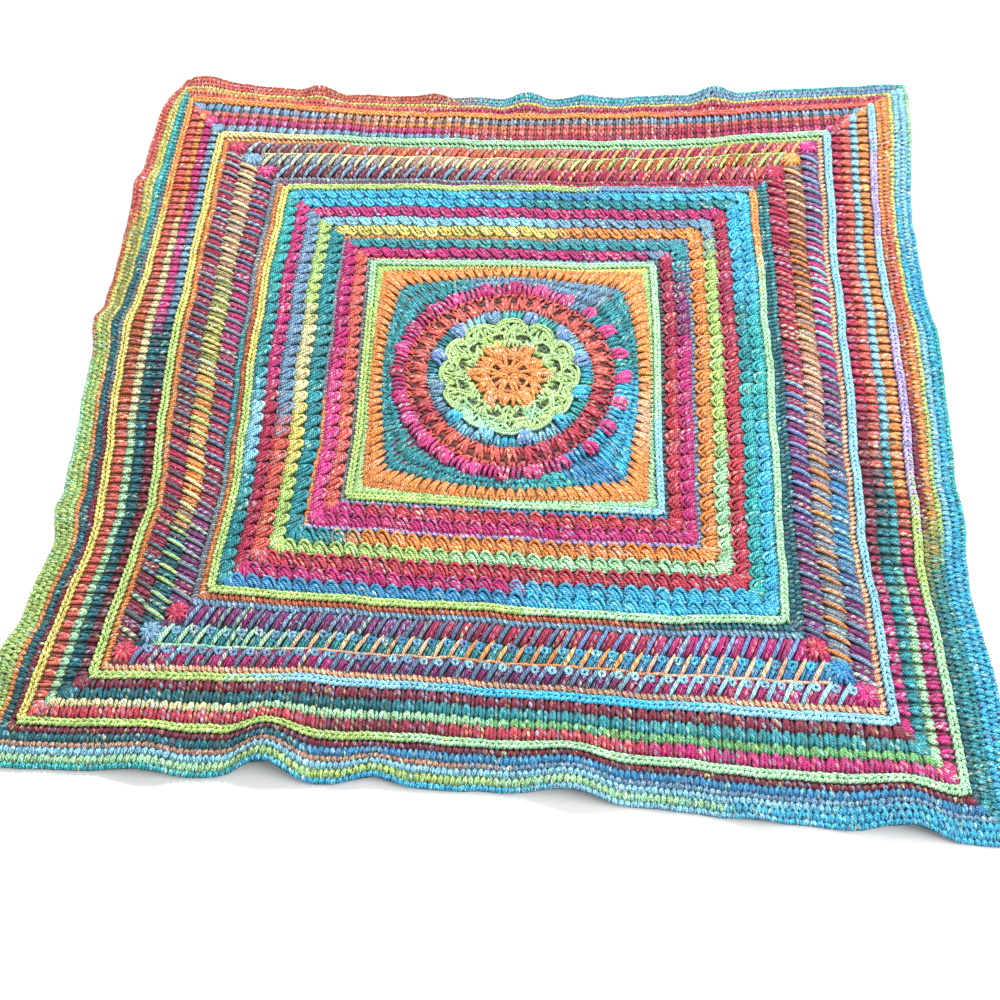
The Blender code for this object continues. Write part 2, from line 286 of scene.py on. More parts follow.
def circle_cells(inner, outer, count, first):
    """Cells of a circular round. first: degrees from +X to the middle of the first one."""
    degrees = first + 360.0 / count * np.arange(count)
    ray, across = rays(np.radians(degrees))
    turned = (degrees + 135.0) % 360.0
    side = (turned // 90).astype(int)
    along = (turned % 90) / 45 - 1
    arc = math.tau / count
    return gather([(ray * inner, ray * outer, across, arc * inner, arc * outer, side, along)])


def squaring_cells(inner, outer, per_side):
    """Cells of a round between the circle and the square."""
    edges = np.linspace(-1, 1, per_side + 1)
    along = (edges[:-1] + edges[1:]) / 2
    made = []
    for side in range(len(SIDES)):
        starts, ends = (flat_point(radius, side, along) for radius in (inner, outer))
        rims = (flat_point(radius, side, edges) for radius in (inner, outer))
        ray = unit(ends - starts)
        across = np.stack([-ray[:, 1], ray[:, 0]], 1)
        widths = [np.linalg.norm(np.diff(rim, axis=0), axis=1) for rim in rims]
        made.append((starts, ends, across, *widths, side, along))
    return gather(made)


END_CELL_LEAST = 0.15  # a cell is fitted in at the end of a side when this much of one is left
END_CELL_ALONG = 0.99  # its place on the side
FAN_START = 0.45  # how wide the stitches in a corner start, in cells


def square_cells(inner, outer, pitch, fan=2, aligned=False):
    """Cells of a square round: upright along the sides, and a fan of them in each corner.

    aligned: the pitch isn't fitted to the side, so that the stitches of several rounds line up.
    """
    count = 2 * int(inner / pitch) if aligned else max(int(round(2 * inner / pitch)), 1)
    width = pitch if aligned else 2 * inner / count
    places = (np.arange(count) - (count - 1) / 2) * width
    made = []
    depth = outer - inner
    for side in range(len(SIDES)):
        out, across = OUTWARDS[side], SIDEWAYS[side]
        starts = inner * out + places[:, None] * across
        ends = outer * out + places[:, None] * across
        made.append((starts, ends, across, width, width, side, places / inner))
        spare = inner - count * width / 2
        if spare > END_CELL_LEAST * width:
            for end in (-1, 1):
                place = end * (inner - spare / 2)
                leaning = place + end * depth / 3
                start, stop = inner * out + place * across, outer * out + leaning * across
                widths = (spare, spare + depth / 3)
                made.append((start[None], stop[None], across, *widths, side, end * END_CELL_ALONG))
        if not fan:
            continue
        angle = np.radians(90.0 * (np.arange(fan) + 0.5) / fan)
        ray = np.cos(angle)[:, None] * out + np.sin(angle)[:, None] * across
        turned = -np.sin(angle)[:, None] * out + np.cos(angle)[:, None] * across
        reach = depth / np.maximum(np.cos(angle), np.sin(angle))
        corner = inner * (out + across)
        after = angle > math.pi / 4
        made.append((
            np.tile(corner, (fan, 1)), corner + ray * reach[:, None], turned, width * FAN_START,
            2 * depth / fan, np.where(after, (side + 1) % len(SIDES), side),
            np.where(after, -1.0, 1.0),
        ))
    return gather(made)


def knot_cells(middle, reach, count):
    """Cells that spread all round from a place on each corner of a square round."""
    ray, across = rays(math.tau * np.arange(count) / count)
    made = []
    for side in range(len(SIDES)):
        corner = middle * (OUTWARDS[side] + SIDEWAYS[side])
        made.append((
            np.tile(corner, (count, 1)), corner + ray * reach, across, reach / 3,
            math.tau * reach / count, (side + 1) % len(SIDES), -1.0,
        ))
    return gather(made)


def curve_through(controls, steps):
    """Even rows on a smooth line through rows of numbers."""
    known = np.array(controls, float)
    padded = np.vstack([2 * known[0] - known[1], known, 2 * known[-1] - known[-2]])
    place = np.linspace(0, len(known) - 1, steps + 1)
    start = np.minimum(place.astype(int), len(known) - 2)
    t = (place - start)[:, None]
    a, b, c, d = (padded[start + k] for k in range(4))
    return 0.5 * (2 * b + (c - a) * t + (2 * a - 5 * b + 4 * c - d) * t**2
                  + (3 * b - a - 3 * c + d) * t**3)


TWIST_LENGTH = 0.010  # the yarn's plies turn once in this


class Yarn:
    """Strands of yarn, gathered into one mesh."""

    def __init__(self, name):
        self.name = name
        self.points, self.plies_a, self.plies_b = [], [], []
        self.loops, self.sizes, self.uvs = [], [], []
        self.count = 0

    def add(self, paths, radii, sides, ply_a, ply_b):
        """Closed tubes along paths: an array of strand, point and x, y, z."""
        strands, rows = paths.shape[:2]
        tangent = unit(np.gradient(paths, axis=1))
        up = np.zeros((strands, 3))
        up[:, 2] = 1.0
        steep = np.abs(tangent[:, 0, 2]) > 0.9
        up[steep] = (1.0, 0.0, 0.0)
        normal = np.zeros_like(paths)
        current = np.cross(tangent[:, 0], up)
        for row in range(rows):
            along = (current * tangent[:, row]).sum(1, keepdims=True)
            current = unit(current - along * tangent[:, row])
            normal[:, row] = current
        binormal = np.cross(tangent, normal)
        turn = math.tau * np.arange(sides) / sides
        ring = (normal[:, :, None] * np.cos(turn)[:, None]
                + binormal[:, :, None] * np.sin(turn)[:, None])
        points = paths[:, :, None] + ring * radii[:, :, None, None]
        per_strand = rows * sides
        first = self.count + np.arange(strands)[:, None, None] * per_strand
        row, spoke = np.meshgrid(np.arange(rows - 1), np.arange(sides), indexing="ij")
        after = (spoke + 1) % sides
        corners = np.stack([row * sides + spoke, row * sides + after,
                            (row + 1) * sides + after, (row + 1) * sides + spoke], -1)
        quads = first[..., None] + corners[None]
        step = np.linalg.norm(np.diff(paths, axis=1), axis=2)
        length = np.concatenate([np.zeros((strands, 1)), np.cumsum(step, axis=1)], axis=1)
        turns = length / TWIST_LENGTH + random.random((strands, 1))
        u = np.stack([turns[:, row], turns[:, row], turns[:, row + 1], turns[:, row + 1]], -1)
        v = np.stack([spoke, spoke + 1, spoke + 1, spoke], -1) / sides
        v = np.broadcast_to(v, u.shape)
        self.loops.append(quads.reshape(-1))
        self.sizes.append(np.full(quads.size // 4, 4))
        self.uvs.append(np.stack([u, v], -1).reshape(-1, 2))
        for cap_row, order in ((0, np.arange(sides)[::-1]), (rows - 1, np.arange(sides))):
            cap = first[:, 0] + cap_row * sides + order
            self.loops.append(cap.reshape(-1))
            self.sizes.append(np.full(strands, sides))
            cap_v = np.broadcast_to(order / sides, (strands, sides))
            cap_u = np.broadcast_to(turns[:, cap_row, None], (strands, sides))
            self.uvs.append(np.stack([cap_u, cap_v], -1).reshape(-1, 2))
        self.points.append(points.reshape(-1, 3))
        self.plies_a.append(np.repeat(ply_a, per_strand, axis=0))
        self.plies_b.append(np.repeat(ply_b, per_strand, axis=0))
        self.count += strands * per_strand

    def build(self, material):
        mesh = new_mesh(self.name, [lie(np.concatenate(self.points))], self.loops, self.sizes)
        set_colours(mesh, "ply_a", np.concatenate(self.plies_a))
        set_colours(mesh, "ply_b", np.concatenate(self.plies_b))
        layer = mesh.uv_layers.new(name="strand")
        layer.data.foreach_set("uv", np.concatenate(self.uvs).astype(np.float32).ravel())
        return new_piece(self.name, mesh, material)


def new_mesh(name, *parts):
    """A mesh from lists of arrays: its points, the corners of its faces, and the faces' sizes."""
    points, loops, sizes = (np.concatenate(part) for part in parts)
    mesh = bpy.data.meshes.new(name)
    mesh.vertices.add(len(points))
    mesh.vertices.foreach_set("co", points.astype(np.float32).ravel())
    mesh.loops.add(len(loops))
    mesh.loops.foreach_set("vertex_index", loops.astype(np.int32))
    mesh.polygons.add(len(sizes))
    starts = np.concatenate([[0], np.cumsum(sizes)[:-1]])
    mesh.polygons.foreach_set("loop_start", starts.astype(np.int32))
    mesh.polygons.foreach_set("use_smooth", np.ones(len(sizes), bool))
    mesh.update(calc_edges=True)
    return mesh


def set_colours(mesh, name, colours):
    layer = mesh.color_attributes.new(name, "FLOAT_COLOR", "POINT")
    rgba = np.concatenate([colours, np.ones((len(colours), 1))], axis=1)
    layer.data.foreach_set("color", rgba.astype(np.float32).ravel())


def new_object(name, data):
    thing = bpy.data.objects.new(name, data)
    bpy.context.scene.collection.objects.link(thing)
    return thing


def new_piece(name, mesh, material):
    mesh.materials.append(material)
    piece = new_object(name, mesh)
    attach(piece, "root")
    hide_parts("afghan")
    return piece


PLY_NEIGHBOURS = ("cream", "ice", "mint", "coal", "teal", "wine", "ice", "pine")
NEIGHBOUR_SHARE = (0.05, 0.36)
NEIGHBOUR_MOST = 0.8
DRIFT_KNOTS = 160  # the dye's strength changes this many times round the cloth
DYE_LEAST, DYE_DRIFT = 0.86, 0.30

# How the strands of a round differ: spreads in widths, in depths, in millimetres and in percent of
# a side, and the lowest and highest factors.
SPREAD_X, SPREAD_BEND, SPREAD_Y = 0.022, 0.012, 0.02
SPREAD_HEIGHT = 0.12
SPREAD_COLOUR, SPREAD_PLY = 1.2, 5
RADIUS_FACTORS = (0.94, 1.06)
SHADE_FACTORS = (0.84, 1.08)
PLY_FACTORS = (0.66, 1.55)


def drift(round_name, cells):
    """From 0 to 1: how strong the dye is, changing slowly along the round."""
    knots = np.random.default_rng(SEED + list(CHART).index(round_name)).random(DRIFT_KNOTS)
    return np.interp(cells.side * 2 + cells.along, np.linspace(-1, 7, DRIFT_KNOTS), knots)


def work(yarn, cells, strand, steps, sides, round_name, thick=1.0, shade=1.0, tweed=1.0, lift=0.0,
         lean=0.0):
    """One strand in every cell. strand: rows of x in widths, y in depths, height and radius in mm."""
    count = len(cells.inner)
    x, y, height, radius = curve_through(strand, steps).T
    widening = (cells.outer_width - cells.inner_width)[:, None]
    width = cells.inner_width[:, None] + widening * np.clip(y, 0, 1)
    x = x + random.normal(0, SPREAD_X, (count, 1)) + random.normal(0, SPREAD_BEND, (count, len(x)))
    x = x + random.normal(0, 1, (count, 1)) * lean * (y - 0.5)
    y = y + random.normal(0, SPREAD_Y, (count, 1))
    paths = np.zeros((count, len(height), 3))
    paths[..., :2] = (cells.inner[:, None] + (cells.outer - cells.inner)[:, None] * y[..., None]
                      + cells.sideways[:, None] * (x * width)[..., None])
    paths[..., 2] = (height + lift + random.normal(0, SPREAD_HEIGHT, (count, 1))) / 1000
    radii = radius / 1000 * thick * random.uniform(*RADIUS_FACTORS, (count, 1))
    wander = random.normal(0, SPREAD_COLOUR, count)
    colour = yarn_colour(round_name, cells.side, cells.along, wander)
    strength = drift(round_name, cells)[:, None]
    colour = colour * random.uniform(*SHADE_FACTORS, (count, 1))
    # shade scales both plies' colours; the eyelets and the rib gaps use it for painted shade.
    colour = colour * (DYE_LEAST + DYE_DRIFT * strength) * shade
    other_wander = wander + random.normal(0, SPREAD_PLY, count)
    other = yarn_colour(round_name, cells.side, cells.along, other_wander)
    accents = np.array([linear(name) for name in PLY_NEIGHBOURS])
    accent = accents[random.integers(0, len(accents), count)]
    share = random.uniform(*NEIGHBOUR_SHARE, (count, 1)) * tweed * (0.5 + strength)
    share = np.minimum(share, NEIGHBOUR_MOST)
    other = (other * (1 - share) + accent * share) * random.uniform(*PLY_FACTORS, (count, 1)) * shade
    yarn.add(paths, radii, sides, np.clip(colour, 0, 1), np.clip(other, 0, 1))


# Stitches: for each strand its rows of x, y, height and radius, then its steps and sides.
CLUSTER = (
    (((-0.5, 0.44, 2.6, 1.4), (-0.4, 0.14, 4.8, 2.1), (-0.16, -0.02, 6.2, 2.6), (0.11, 0.14, 6.2, 2.5),
      (0.33, 0.56, 4.8, 2.2), (0.5, 1, 2.8, 1.4)), 6, 5),
    (((-0.32, 0.2, 3, 1.7), (-0.1, 0.36, 5.2, 2.4), (0.12, 0.66, 4.9, 2.4),
      (0.29, 1.04, 2.8, 1.6)), 4, 5),
    (((-0.46, 0.36, 3, 1.7), (-0.26, 0.54, 5, 2.4), (-0.07, 0.79, 4.7, 2.3),
      (0.06, 1.04, 2.8, 1.6)), 3, 5),
    (((-0.54, 0.56, 2.8, 1.6), (-0.37, 0.78, 4.6, 2.2), (-0.22, 1.04, 2.8, 1.5)), 2, 5),
)
CLUSTER_TOPS = tuple(
    (((x - 0.46, 0.93, 2.8, 1), (x - 0.28, 1.02, 3.9, 1.4), (x - 0.06, 0.97, 2.8, 1)), 2, 4)
    for x in (0, 0.5)
)
POST = (
    (((-0.3, -0.06, 2.2, 1.5), (-0.12, 0.45, 3.9, 2.3), (0.2, 1, 3, 1.4)), 2, 5),
    (((0.16, -0.04, 2, 1.2), (0.3, 0.5, 3.2, 1.7), (0.48, 0.98, 2.6, 1.1)), 2, 4),
)
UPRIGHT = (
    (((0.1, -0.08, 2.2, 1.2), (-0.16, 0.42, 3.8, 2), (-0.36, 1, 3, 1.3)), 2, 4),
    (((0.16, -0.06, 2, 1.2), (0.2, 0.46, 3.7, 1.9), (0.14, 1.02, 3, 1.3)), 2, 4),
)
CHAIN = (
    (((-0.85, 0.12, 3.6, 1.5), (-0.28, 0.22, 6.2, 2.4), (0.55, 0.47, 5.8, 1.7)), 3, 5),
    (((-0.85, 0.88, 3.6, 1.5), (-0.28, 0.78, 6.2, 2.4), (0.55, 0.53, 5.8, 1.7)), 3, 5),
)
CROSS_BASE = (
    (((0.48, 0.02, 2.6, 1.8), (0.15, 0.42, 3.6, 2.3), (-0.16, 0.98, 2.6, 1.7)), 3, 5),
    (((0.6, 0.04, 2.8, 1.8), (0.36, 0.5, 5.4, 2.7), (0.02, 1, 2.8, 1.7)), 3, 5),
    (((0.76, 0.06, 2.6, 1.8), (0.59, 0.55, 3.6, 2.3), (0.22, 1.02, 2.6, 1.7)), 3, 5),
    (((0.12, 0.7, 3.4, 1.1), (0.36, 0.56, 7, 1.5), (0.62, 0.7, 3.4, 1.1)), 2, 4),
)
CROSS_STRAND = (
    (((0.22, -0.1, 2.8, 1.4), (0.07, 0.16, 6, 2.4), (-0.16, 0.5, 7.3, 2.8), (-0.39, 0.84, 6, 2.4),
      (-0.54, 1.1, 2.8, 1.2)), 6, 6),
)
EIGHTHS = [math.radians(45) * number for number in range(9)]
CROSS_EYE = (
    (tuple((0.38 + 0.18 * math.cos(turn), 0.27 + 0.15 * math.sin(turn),
            6.4 + 0.8 * math.cos(2 * turn), 2.3) for turn in EIGHTHS), 8, 5),
)
CROSS_CHAIN = tuple(
    (((x - 0.8, 1, 3.6, 1.5), (x - 0.45, 1, 5, 2.1), (x - 0.1, 0.98, 4, 1.5)), 3, 4)
    for x in (0, 0.5)
)
KNOT = (
    (((0, 0.06, 6.2, 2), (0.16, 0.34, 8.2, 2.4), (0.1, 0.68, 7.2, 2.4), (-0.06, 1, 2.8, 1.6)), 4, 5),
)
KNOT_MIDDLE, KNOT_REACH = 0.42, 0.58  # shares of the round's depth
KNOT_STRANDS = 11
RIB = (
    (((-0.08, -0.1, 4.4, 1.6), (-0.22, 0.44, 5.6, 2.8), (-0.24, 0.98, 3.4, 1.6)), 3, 5),
    (((0.04, -0.12, 4.4, 1.6), (0.12, 0.5, 5.6, 2.7), (0.1, 1.02, 3.4, 1.6)), 3, 5),
)
RIB_GAP = (
    (((0.38, 0, 1.9, 1.3), (0.44, 0.5, 2.8, 1.8), (0.4, 1, 1.9, 1.3)), 2, 4),
)


def work_stitch(yarn, cells, stitch, round_name, **looks):
    for strand in stitch:
        work(yarn, cells, *strand, round_name, **looks)


# Widths of the stitches along a round.
CLUSTER_PITCH = 0.0196
POST_PITCH = 0.0071
CROSS_PITCH = 0.0193
RIB_PITCH = 2 * 0.469 / 66  # sixty-six to a side


def rounds_between(names, *edges):
    """Rounds that lie edge to edge: name, inner and outer radius."""
    return tuple(zip(names.split(), edges, edges[1:]))


INNER_CLUSTER_ROUNDS = (
    *rounds_between("c1 c2", 0.2145, 0.2315, 0.2495), *rounds_between("c3 c4", 0.2555, 0.276, 0.294),
)
OUTER_CLUSTER_ROUNDS = rounds_between("c5 c6 c7", 0.294, 0.3145, 0.332, 0.349)
POST_ROUNDS = (
    ("thin0", 0.2075, 0.2145), ("thin1", 0.2495, 0.256),
    *rounds_between("thin2a thin2b", 0.3595, 0.3675, 0.375), ("thin3", 0.446, 0.4545),
)
RIDGES = (
    ("ridge0", 0.1985, 0.2085), ("ridge1", 0.3495, 0.36),
    ("ridge2", 0.4545, 0.466), ("ridge3", 0.522, 0.5335),
)
CROSS_ROUNDS = rounds_between("x1 x2 x3", 0.375, 0.399, 0.423, 0.446)
RIB_ROUNDS = rounds_between("rib1 rib2 rib3 rib4", 0.466, 0.4805, 0.4955, 0.5065, 0.522)
BORDER_ROUNDS = rounds_between(
    "b1 b2 b3 b4 b5 b6", 0.5335, 0.5415, 0.5525, 0.559, 0.568, 0.5785, 0.585,
)


END_THIN = 0.7  # a strand's radius at its ends, as a share of that at its middle


def shell(spread_in, spread_out, strands, low, high, radius):
    """Strands that start close together and spread outwards, over a low hump."""
    made = []
    for number, share in enumerate(np.linspace(-1, 1, strands)):
        inner, outer = share * spread_in, share * spread_out
        top = high - 0.5 * (number % 2)
        end = (low, radius * END_THIN)
        made.append((
            ((inner, 0.0, *end), ((inner + outer) / 2, 0.5, top, radius), (outer, 1.0, *end)), 3, 5,
        ))
    return tuple(made)


def puff(half_width, strands, low, high, radius):
    """Strands of a bobble: they meet at both ends, and bulge between."""
    made = []
    for share in np.linspace(-1, 1, strands):
        x, end = share * half_width, (low, radius * END_THIN)
        top = low + (high - low) * math.sqrt(1 - 0.75 * share * share)
        made.append((
            ((x * 0.5, 0.0, *end), (x, 0.28, top * 0.93, radius), (x, 0.7, top, radius),
             (x * 0.5, 1.0, *end)), 5, 5,
        ))
    return tuple(made)


def bridge(start, middle, low, high, radius):
    """A strand that runs along the round from one side of its cell to the other."""
    end = (start, low, radius * 0.8)
    return ((((-0.5, *end), (0.0, middle, high, radius), (0.5, *end)), 4, 5),)


def eyelet(half_width, half_depth, height, radius):
    """A strand laid round a gap in the middle of its cell."""
    rows = tuple(
        (half_width * math.cos(turn), 0.5 + half_depth * math.sin(turn), height, radius)
        for turn in EIGHTHS
    )
    return ((rows, 9, 5),)


def build_motif(material):
    yarn = Yarn("afghan_motif")

    def add(inner, outer, count, first, stitch, colour, **looks):
        cells = circle_cells(inner / 1000, outer / 1000, count, first)
        work_stitch(yarn, cells, stitch, colour, **looks)

    # The flower: a ring, six spokes with gaps between, and twelve petals in two layers.
    add(2, 11, 8, -90, shell(0, 0, 1, 3.4, 5.8, 2.3), "flower", lean=0.3)
    add(7, 30, 6, -60, shell(0.2, 0.28, 3, 3.2, 6, 2.7), "flower", lean=0.12)
    add(8, 15, 6, -90, puff(0.26, 3, 3.2, 6.4, 2.2), "flower", lean=0.2)
    # The ring of yarn round each of the six gaps is darkened with painted shadow, so the holes read
    # dark.
    add(14.5, 24.5, 6, -90, eyelet(0.195, 0.42, 2.4, 1.8), "flower", shade=0.25)
    add(22.5, 30, 6, -90, bridge(0.45, 0.75, 3.6, 6, 2.2), "flower")
    add(26, 43, 12, -75, puff(0.2, 4, 3, 5.4, 2.2), "flower", lean=0.25)
    add(29, 45, 6, -60, puff(0.13, 4, 4, 7.6, 2.3), "flower", lean=0.2)
    add(31, 61, 6, -60, puff(0.15, 4, 3.4, 7.4, 2.9), "flower", tweed=1.4, lean=0.25)
    add(31, 50.5, 6, -90, puff(0.15, 4, 3.4, 6.6, 2.7), "flower", tweed=1.4, lean=0.3)
    # Lime shells, with twelve gaps, and long loops of chain over them.
    add(50, 65, 12, -90, puff(0.24, 4, 2.8, 5.8, 2.4), "lime_in", lean=0.4)
    add(50, 63, 12, -75, shell(0.12, 0.22, 3, 2.6, 4.6, 2.2), "lime_in", lean=0.4)
    # The ring of yarn round each of the twelve gaps is darkened with painted shadow, so the holes read
    # dark.
    add(62, 72, 12, -75, eyelet(0.13, 0.42, 2.4, 2), "lime_in", shade=0.22)
    add(62, 80, 12, -90, shell(0.12, 0.34, 5, 3, 5.8, 2.3), "lime_in", lean=0.3)
    add(70.5, 76, 12, -75, bridge(0.3, 0.6, 3.6, 5.6, 2.1), "lime_out")
    add(75.5, 93, 12, -75, shell(0.1, 0.4, 6, 2.8, 5.2, 2.3), "lime_out", lean=0.35)
    add(76, 95, 12, -90, shell(0.3, 0.16, 5, 2.8, 5.4, 2.3), "lime_out", lean=0.35)
    loops = tuple(
        (((-0.48, 0.0 + y, 4.4, 1.6), (-0.28, 0.4 + y, 6.8, 2.1), (0, 0.56 + y, 7.6, 2.3),
          (0.28, 0.4 + y, 6.8, 2.1), (0.48, 0.0 + y, 4.4, 1.6)), 8, 6)
        for y in (0.14, 0.36)
    )
    add(80, 98, 12, -90, loops, "lime_out", tweed=0.9, lean=0.12)
    # Upright stitches and twelve bobbles.
    add(96, 116.5, 66, -90, UPRIGHT, "blue", tweed=2, lean=0.2, thick=1.2)
    add(92.5, 113, 12, -75, puff(0.145, 5, 6, 11.6, 2.8), "bobble", tweed=1.4, lean=0.1)
    # Fans of long stitches, with thirty-six gaps between them.
    add(115, 140, 36, -85, shell(0.12, 0.24, 4, 2.8, 5.6, 2.2), "coral", tweed=1.4, lean=0.16)
    add(115, 128.5, 36, -90, shell(0.16, 0.1, 2, 2.6, 4.6, 2.1), "coral", lean=0.35)
    # The ring of yarn round each of the thirty-six gaps is darkened with painted shadow, so the holes
    # read dark.
    add(132, 142, 36, -90, eyelet(0.155, 0.38, 2.4, 1.7), "coral", shade=0.18)
    add(139.5, 146, 72, -90, UPRIGHT, "coral", lift=1, thick=1.1, lean=0.3)
    # A raised ring with twenty-four bobbles, which stand alone on the right.
    ring = circle_cells(0.1445, 0.166, 132, -90)
    raised = (
        (((0, 0, 3, 1.6), (0.1, 0.28, 6.6, 2.5), (-0.08, 0.64, 7.4, 2.6), (0, 1, 2.8, 1.5)), 5, 5),
    )
    isolated = ring.side == 1
    isolated |= (ring.side == 0) & (ring.along > 0.62)
    isolated |= (ring.side == 2) & (ring.along < -0.7)
    work_stitch(yarn, ring.only(~isolated), raised, "magenta", tweed=1.6, lean=0.4)
    work_stitch(yarn, ring.only(isolated), raised, "teal", tweed=1.8, lift=-1, lean=0.4, thick=1.1)
    add(145, 152, 76, -90, UPRIGHT, "red_line", lift=0.6)
    bobbles = circle_cells(0.147, 0.168, 24, -90)
    alone = (bobbles.side == 1) | ((bobbles.side == 0) & (bobbles.along > 0.7))
    low_puff, high_puff = puff(0.16, 4, 4.6, 9.2, 2.6), puff(0.155, 4, 5, 11.4, 2.9)
    work_stitch(yarn, bobbles.only(~alone), low_puff, "magenta", tweed=1.6, lean=0.15)
    work_stitch(yarn, bobbles.only(alone), high_puff, "magenta", lean=0.12)
    return yarn.build(material)


def build_corners(material):
    yarn = Yarn("afghan_corners")
    bunch = shell(0.1, 0.32, 3, 3.0, 5.2, 2.4)
    for inner, outer in ((0.1628, 0.1712), (0.1708, 0.1788)):
        cells = squaring_cells(inner, outer, 34)
        work_stitch(yarn, cells, UPRIGHT, "teal", tweed=1.5, thick=1.25, lean=0.5)
    work_stitch(yarn, squaring_cells(0.1775, 0.1925, 27), bunch, "orange", lean=0.12)
    work_stitch(yarn, squaring_cells(0.19, 0.1945, 48), UPRIGHT, "orange", lift=0.4, lean=0.2)
    work_stitch(yarn, squaring_cells(0.1935, 0.1995, 52), UPRIGHT, "lime_edge", lean=0.2)
    return yarn.build(material)


def build_rounds(material, name, rounds, pitch, *layers):
    """Square rounds of one kind. layers: a stitch and its looks."""
    yarn = Yarn(name)
    for round_name, inner, outer in rounds:
        cells = square_cells(inner, outer, pitch)
        for stitch, looks in layers:
            work_stitch(yarn, cells, stitch, round_name, **looks)
    return yarn.build(material)


def build_ridges(material):
    yarn = Yarn("afghan_ridges")
    for name, inner, outer in RIDGES:
        middle = (inner + outer) / 2
        cells = square_cells(middle, outer, POST_PITCH, fan=0)
        depth = outer - inner
        inner_edge = cells.inner - (cells.outer - cells.inner) / (outer - middle) * depth / 2
        cells = cells._replace(inner=inner_edge)
        work_stitch(yarn, cells, CHAIN, name, tweed=0.7, shade=1.08)
    return yarn.build(material)


def build_crossed(material):
    yarn = Yarn("afghan_crossed")
    for name, inner, outer in CROSS_ROUNDS:
        cells = square_cells(inner, outer, CROSS_PITCH, fan=3)
        work_stitch(yarn, cells, CROSS_BASE, name + "_base", tweed=1.6)
        depth = outer - inner
        knots = knot_cells(inner + KNOT_MIDDLE * depth, KNOT_REACH * depth, KNOT_STRANDS)
        work_stitch(yarn, knots, KNOT, name + "_knot", tweed=0.8, shade=1.15)
        cells = cells.only(np.abs(cells.along) < 1)
        work_stitch(yarn, cells, CROSS_STRAND, name, tweed=2.0, lean=0.04)
        if name == "x2":
            work_stitch(yarn, cells.only(cells.side % 2 == 0), CROSS_CHAIN, name)
        if name != "x1":
            front = cells.only(cells.side == 0)
            work_stitch(yarn, front, CROSS_EYE, name + "_eye", tweed=2.4, lean=0.1)
    return yarn.build(material)


def build_ribs(material):
    yarn = Yarn("afghan_ribs")
    for name, inner, outer in RIB_ROUNDS:
        cells = square_cells(inner, outer, RIB_PITCH, fan=3, aligned=True)
        work_stitch(yarn, cells, RIB, name, tweed=1.5, lean=0.05)
        front = cells.side == 0
        # Painted shade: the strands in the gaps between the ribs are darkened, except on the front.
        work_stitch(yarn, cells.only(~front), RIB_GAP, name, shade=0.75)
        work_stitch(yarn, cells.only(front), RIB_GAP, name, lift=1.8, thick=1.35, tweed=2.0)
    return yarn.build(material)


# The cloth beneath the yarn's upper loops: its heights between the rounds, in them and at the rim.
CLOTH_VALLEY = 0.0016
CLOTH_SWELL = 0.0024
CLOTH_RIM = 0.0012
# Painted shade: for each ply, the share of the rounds' colours left on the cloth, so that it reads as
# the shade between the strands above it.
CLOTH_PAINTED_SHADES = {"ply_a": 0.36, "ply_b": 0.216}
# Painted shadow round the gaps that go right through: the share of the cloth's colour left there.
GAP_PAINTED_SHADOW = 0.4
CLOTH_POINTS = 48  # on each side of a ring
ROUND_SLACK, RIM_SLACK = 1e-5, 1e-3  # so that every point of the cloth lies in a round
MOTIF_ROUNDS = rounds_between(
    "flower lime_in lime_out blue coral ring_cloth teal orange lime_edge",
    0.0, 0.048, 0.073, 0.097, 0.1165, 0.145, 0.165, 0.1785, 0.1935, 0.2,
)


def all_rounds():
    rows = [*MOTIF_ROUNDS, *INNER_CLUSTER_ROUNDS, *OUTER_CLUSTER_ROUNDS]
    rows += [*POST_ROUNDS, *RIDGES, *RIB_ROUNDS, *BORDER_ROUNDS]
    rows += [(name + "_base", inner, outer) for name, inner, outer in CROSS_ROUNDS]
    return sorted(rows, key=lambda row: row[1])


def radius_of(flat):
    """The round, side and place on it of flat points."""
    reach = np.stack([flat @ out for out in OUTWARDS], 1)
    side = reach.argmax(1)
    out = reach.max(1)
    across = (flat * SIDEWAYS[side]).sum(1)
    distance = np.linalg.norm(flat, axis=1)
    share = across / np.maximum(out, TINY)
    radius = out.copy()
    for _ in range(12):  # each turn brings it nearer to the round that passes through the point
        reach = np.zeros(len(flat))
        for index in range(len(SIDES)):
            here = side == index
            reach[here] = np.linalg.norm(flat_point(radius[here], index, share[here]), axis=1)
        radius *= distance / np.maximum(reach, TINY)
    return radius, side, share


def cloth_rings():
    """The cloth's rings: radius and height of the upper side."""
    rows = [(0.006, CLOTH_SWELL)]
    for _, inner, outer in all_rounds():
        if inner > 0.01:
            rows.append((inner, CLOTH_VALLEY))
        rows.append(((inner + outer) / 2, CLOTH_SWELL))
    rows.append((HALF, CLOTH_RIM))
    return rows


def closed_sheet():
    """The flat cloth without its gaps."""
    rows = cloth_rings()
    count = len(SIDES) * CLOTH_POINTS
    along = np.arange(CLOTH_POINTS) / CLOTH_POINTS * 2 - 1
    layers = []
    for heights in ([height for _, height in rows], [0.0] * len(rows)):
        for (radius, _), height in zip(rows, heights):
            flat = np.concatenate([flat_point(radius, side, along) for side in range(len(SIDES))])
            layers.append(np.column_stack([flat, np.full(count, height)]))
    index = np.arange(count)
    after = (index + 1) % count
    under = len(rows) * count
    loops, sizes = [], []
    for low in np.arange(len(rows) - 1) * count:
        high = low + count
        loops.append(np.stack([low + index, high + index, high + after, low + after], 1).ravel())
        low, high = low + under, high + under
        loops.append(np.stack([low + index, low + after, high + after, high + index], 1).ravel())
        sizes.append(np.full(2 * count, 4))
    rim_top, rim_low = under - count, 2 * under - count
    rim = [rim_top + index, rim_low + index, rim_low + after, rim_top + after]
    loops.append(np.stack(rim, 1).ravel())
    sizes.append(np.full(count, 4))
    loops += [index, under + index[::-1]]
    sizes.append(np.array([count, count]))
    return new_mesh("afghan_cloth", layers, loops, sizes)


